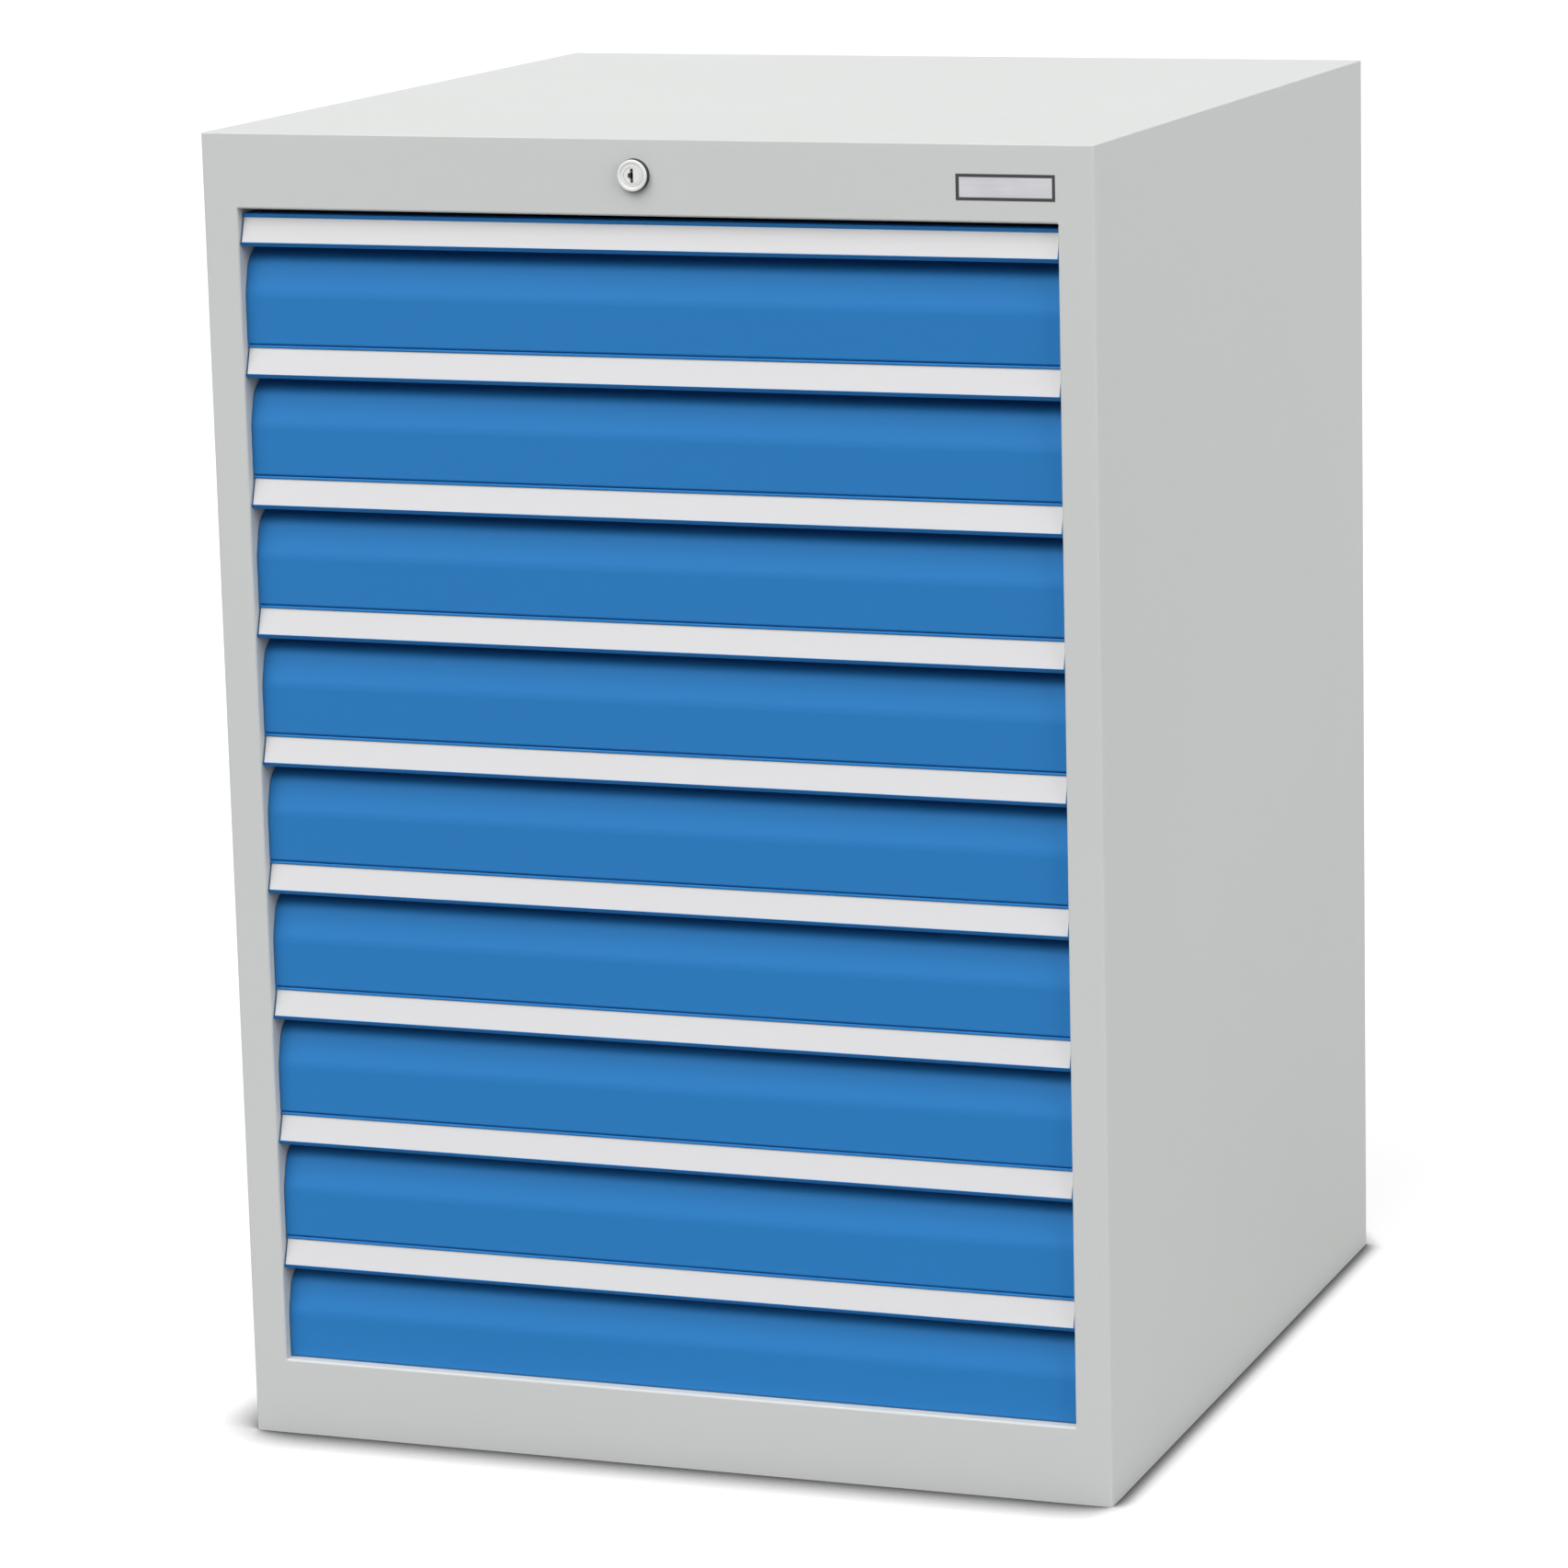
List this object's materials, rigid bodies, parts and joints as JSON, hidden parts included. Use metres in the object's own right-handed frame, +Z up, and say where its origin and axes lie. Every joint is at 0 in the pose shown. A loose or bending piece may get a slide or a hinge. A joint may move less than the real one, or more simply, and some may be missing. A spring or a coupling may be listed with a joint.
{
  "type": "drawer cabinet",
  "caption": "Free-standing sheet-steel cabinet with full-width drawers on full-extension slides, recessed grip lips with plain label strips, and a central lock.",
  "frame": {"origin": "middle of the footprint, on the floor; the lock's rosette, which stands 5 mm proud of the front, isn't counted", "axes": "+Z up, -Y towards the user in front of the drawers, +X to the right as seen from the front"},
  "size_m": [0.705, 0.741, 1.019],
  "materials": {
    "body_grey": "light grey powder coat, fine satin texture",
    "front_blue": "blue powder coat, satin",
    "label_strip": "off-white plain label strip, satin",
    "tray_grey": "grey powder coat, satin",
    "zinc": "bright zinc plating",
    "lock_nickel": "satin nickel plating",
    "guide_nylon": "black nylon",
    "badge_plate": "plain satin plate"
  },
  "bodies": {
    "casing": {"right_side_panel": "body_grey", "left_side_panel": "body_grey", "header_panel": "body_grey", "plinth_panel": "body_grey", "top_panel": "body_grey", "back_panel": "body_grey", "base_pan": "body_grey", "uprights": "zinc", "cabinet_rails": "zinc", "badge_plate": "badge_plate", "lock_housing": "lock_nickel", "lock_bar_guides": "guide_nylon"},
    "drawer_1": {"drawer_front_1": "front_blue", "label_strip_1": "label_strip", "drawer_tray_1": "tray_grey", "drawer_rails_1": "zinc"},
    "middle_1": {"middle_rails_1": "zinc"},
    "drawer_2": {"drawer_front_2": "front_blue", "label_strip_2": "label_strip", "drawer_tray_2": "tray_grey", "drawer_rails_2": "zinc"},
    "middle_2": {"middle_rails_2": "zinc"},
    "drawer_3": {"drawer_front_3": "front_blue", "label_strip_3": "label_strip", "drawer_tray_3": "tray_grey", "drawer_rails_3": "zinc"},
    "middle_3": {"middle_rails_3": "zinc"},
    "drawer_4": {"drawer_front_4": "front_blue", "label_strip_4": "label_strip", "drawer_tray_4": "tray_grey", "drawer_rails_4": "zinc"},
    "middle_4": {"middle_rails_4": "zinc"},
    "drawer_5": {"drawer_front_5": "front_blue", "label_strip_5": "label_strip", "drawer_tray_5": "tray_grey", "drawer_rails_5": "zinc"},
    "middle_5": {"middle_rails_5": "zinc"},
    "drawer_6": {"drawer_front_6": "front_blue", "label_strip_6": "label_strip", "drawer_tray_6": "tray_grey", "drawer_rails_6": "zinc"},
    "middle_6": {"middle_rails_6": "zinc"},
    "drawer_7": {"drawer_front_7": "front_blue", "label_strip_7": "label_strip", "drawer_tray_7": "tray_grey", "drawer_rails_7": "zinc"},
    "middle_7": {"middle_rails_7": "zinc"},
    "drawer_8": {"drawer_front_8": "front_blue", "label_strip_8": "label_strip", "drawer_tray_8": "tray_grey", "drawer_rails_8": "zinc"},
    "middle_8": {"middle_rails_8": "zinc"},
    "drawer_9": {"drawer_front_9": "front_blue", "label_strip_9": "label_strip", "drawer_tray_9": "tray_grey", "drawer_rails_9": "zinc"},
    "middle_9": {"middle_rails_9": "zinc"},
    "lock_plug": {"lock_plug": "lock_nickel", "lock_cam": "zinc"},
    "lock_bar": {"lock_bar": "zinc"}
  },
  "joints": [
    {"name": "drawer_1_slide", "type": "slide", "parent": "casing", "child": "drawer_1", "axis": [0, -1, 0], "range_m": [0, 0.6]},
    {"name": "middle_1_slide", "type": "slide", "parent": "casing", "child": "middle_1", "axis": [0, -1, 0], "range_m": [0, 0.3]},
    {"name": "drawer_2_slide", "type": "slide", "parent": "casing", "child": "drawer_2", "axis": [0, -1, 0], "range_m": [0, 0.6]},
    {"name": "middle_2_slide", "type": "slide", "parent": "casing", "child": "middle_2", "axis": [0, -1, 0], "range_m": [0, 0.3]},
    {"name": "drawer_3_slide", "type": "slide", "parent": "casing", "child": "drawer_3", "axis": [0, -1, 0], "range_m": [0, 0.6]},
    {"name": "middle_3_slide", "type": "slide", "parent": "casing", "child": "middle_3", "axis": [0, -1, 0], "range_m": [0, 0.3]},
    {"name": "drawer_4_slide", "type": "slide", "parent": "casing", "child": "drawer_4", "axis": [0, -1, 0], "range_m": [0, 0.6]},
    {"name": "middle_4_slide", "type": "slide", "parent": "casing", "child": "middle_4", "axis": [0, -1, 0], "range_m": [0, 0.3]},
    {"name": "drawer_5_slide", "type": "slide", "parent": "casing", "child": "drawer_5", "axis": [0, -1, 0], "range_m": [0, 0.6]},
    {"name": "middle_5_slide", "type": "slide", "parent": "casing", "child": "middle_5", "axis": [0, -1, 0], "range_m": [0, 0.3]},
    {"name": "drawer_6_slide", "type": "slide", "parent": "casing", "child": "drawer_6", "axis": [0, -1, 0], "range_m": [0, 0.6]},
    {"name": "middle_6_slide", "type": "slide", "parent": "casing", "child": "middle_6", "axis": [0, -1, 0], "range_m": [0, 0.3]},
    {"name": "drawer_7_slide", "type": "slide", "parent": "casing", "child": "drawer_7", "axis": [0, -1, 0], "range_m": [0, 0.6]},
    {"name": "middle_7_slide", "type": "slide", "parent": "casing", "child": "middle_7", "axis": [0, -1, 0], "range_m": [0, 0.3]},
    {"name": "drawer_8_slide", "type": "slide", "parent": "casing", "child": "drawer_8", "axis": [0, -1, 0], "range_m": [0, 0.6]},
    {"name": "middle_8_slide", "type": "slide", "parent": "casing", "child": "middle_8", "axis": [0, -1, 0], "range_m": [0, 0.3]},
    {"name": "drawer_9_slide", "type": "slide", "parent": "casing", "child": "drawer_9", "axis": [0, -1, 0], "range_m": [0, 0.6]},
    {"name": "middle_9_slide", "type": "slide", "parent": "casing", "child": "middle_9", "axis": [0, -1, 0], "range_m": [0, 0.3]},
    {"name": "lock_turn", "type": "hinge", "parent": "casing", "child": "lock_plug", "pos_m": [-0.002, -0.368, 0.9923], "axis": [0, -1, 0], "range_deg": [0, 90]},
    {"name": "lock_bar_lift", "type": "slide", "parent": "casing", "child": "lock_bar", "axis": [0, 0, 1], "range_m": [0, 0.01202]}
  ],
  "couplings": [
    {"joint": "middle_1_slide", "follows": "drawer_1_slide", "ratio": 0.5},
    {"joint": "middle_2_slide", "follows": "drawer_2_slide", "ratio": 0.5},
    {"joint": "middle_3_slide", "follows": "drawer_3_slide", "ratio": 0.5},
    {"joint": "middle_4_slide", "follows": "drawer_4_slide", "ratio": 0.5},
    {"joint": "middle_5_slide", "follows": "drawer_5_slide", "ratio": 0.5},
    {"joint": "middle_6_slide", "follows": "drawer_6_slide", "ratio": 0.5},
    {"joint": "middle_7_slide", "follows": "drawer_7_slide", "ratio": 0.5},
    {"joint": "middle_8_slide", "follows": "drawer_8_slide", "ratio": 0.5},
    {"joint": "middle_9_slide", "follows": "drawer_9_slide", "ratio": 0.5},
    {"joint": "lock_turn", "follows": "lock_bar_lift", "rad_per_m": 130.68}
  ]
}
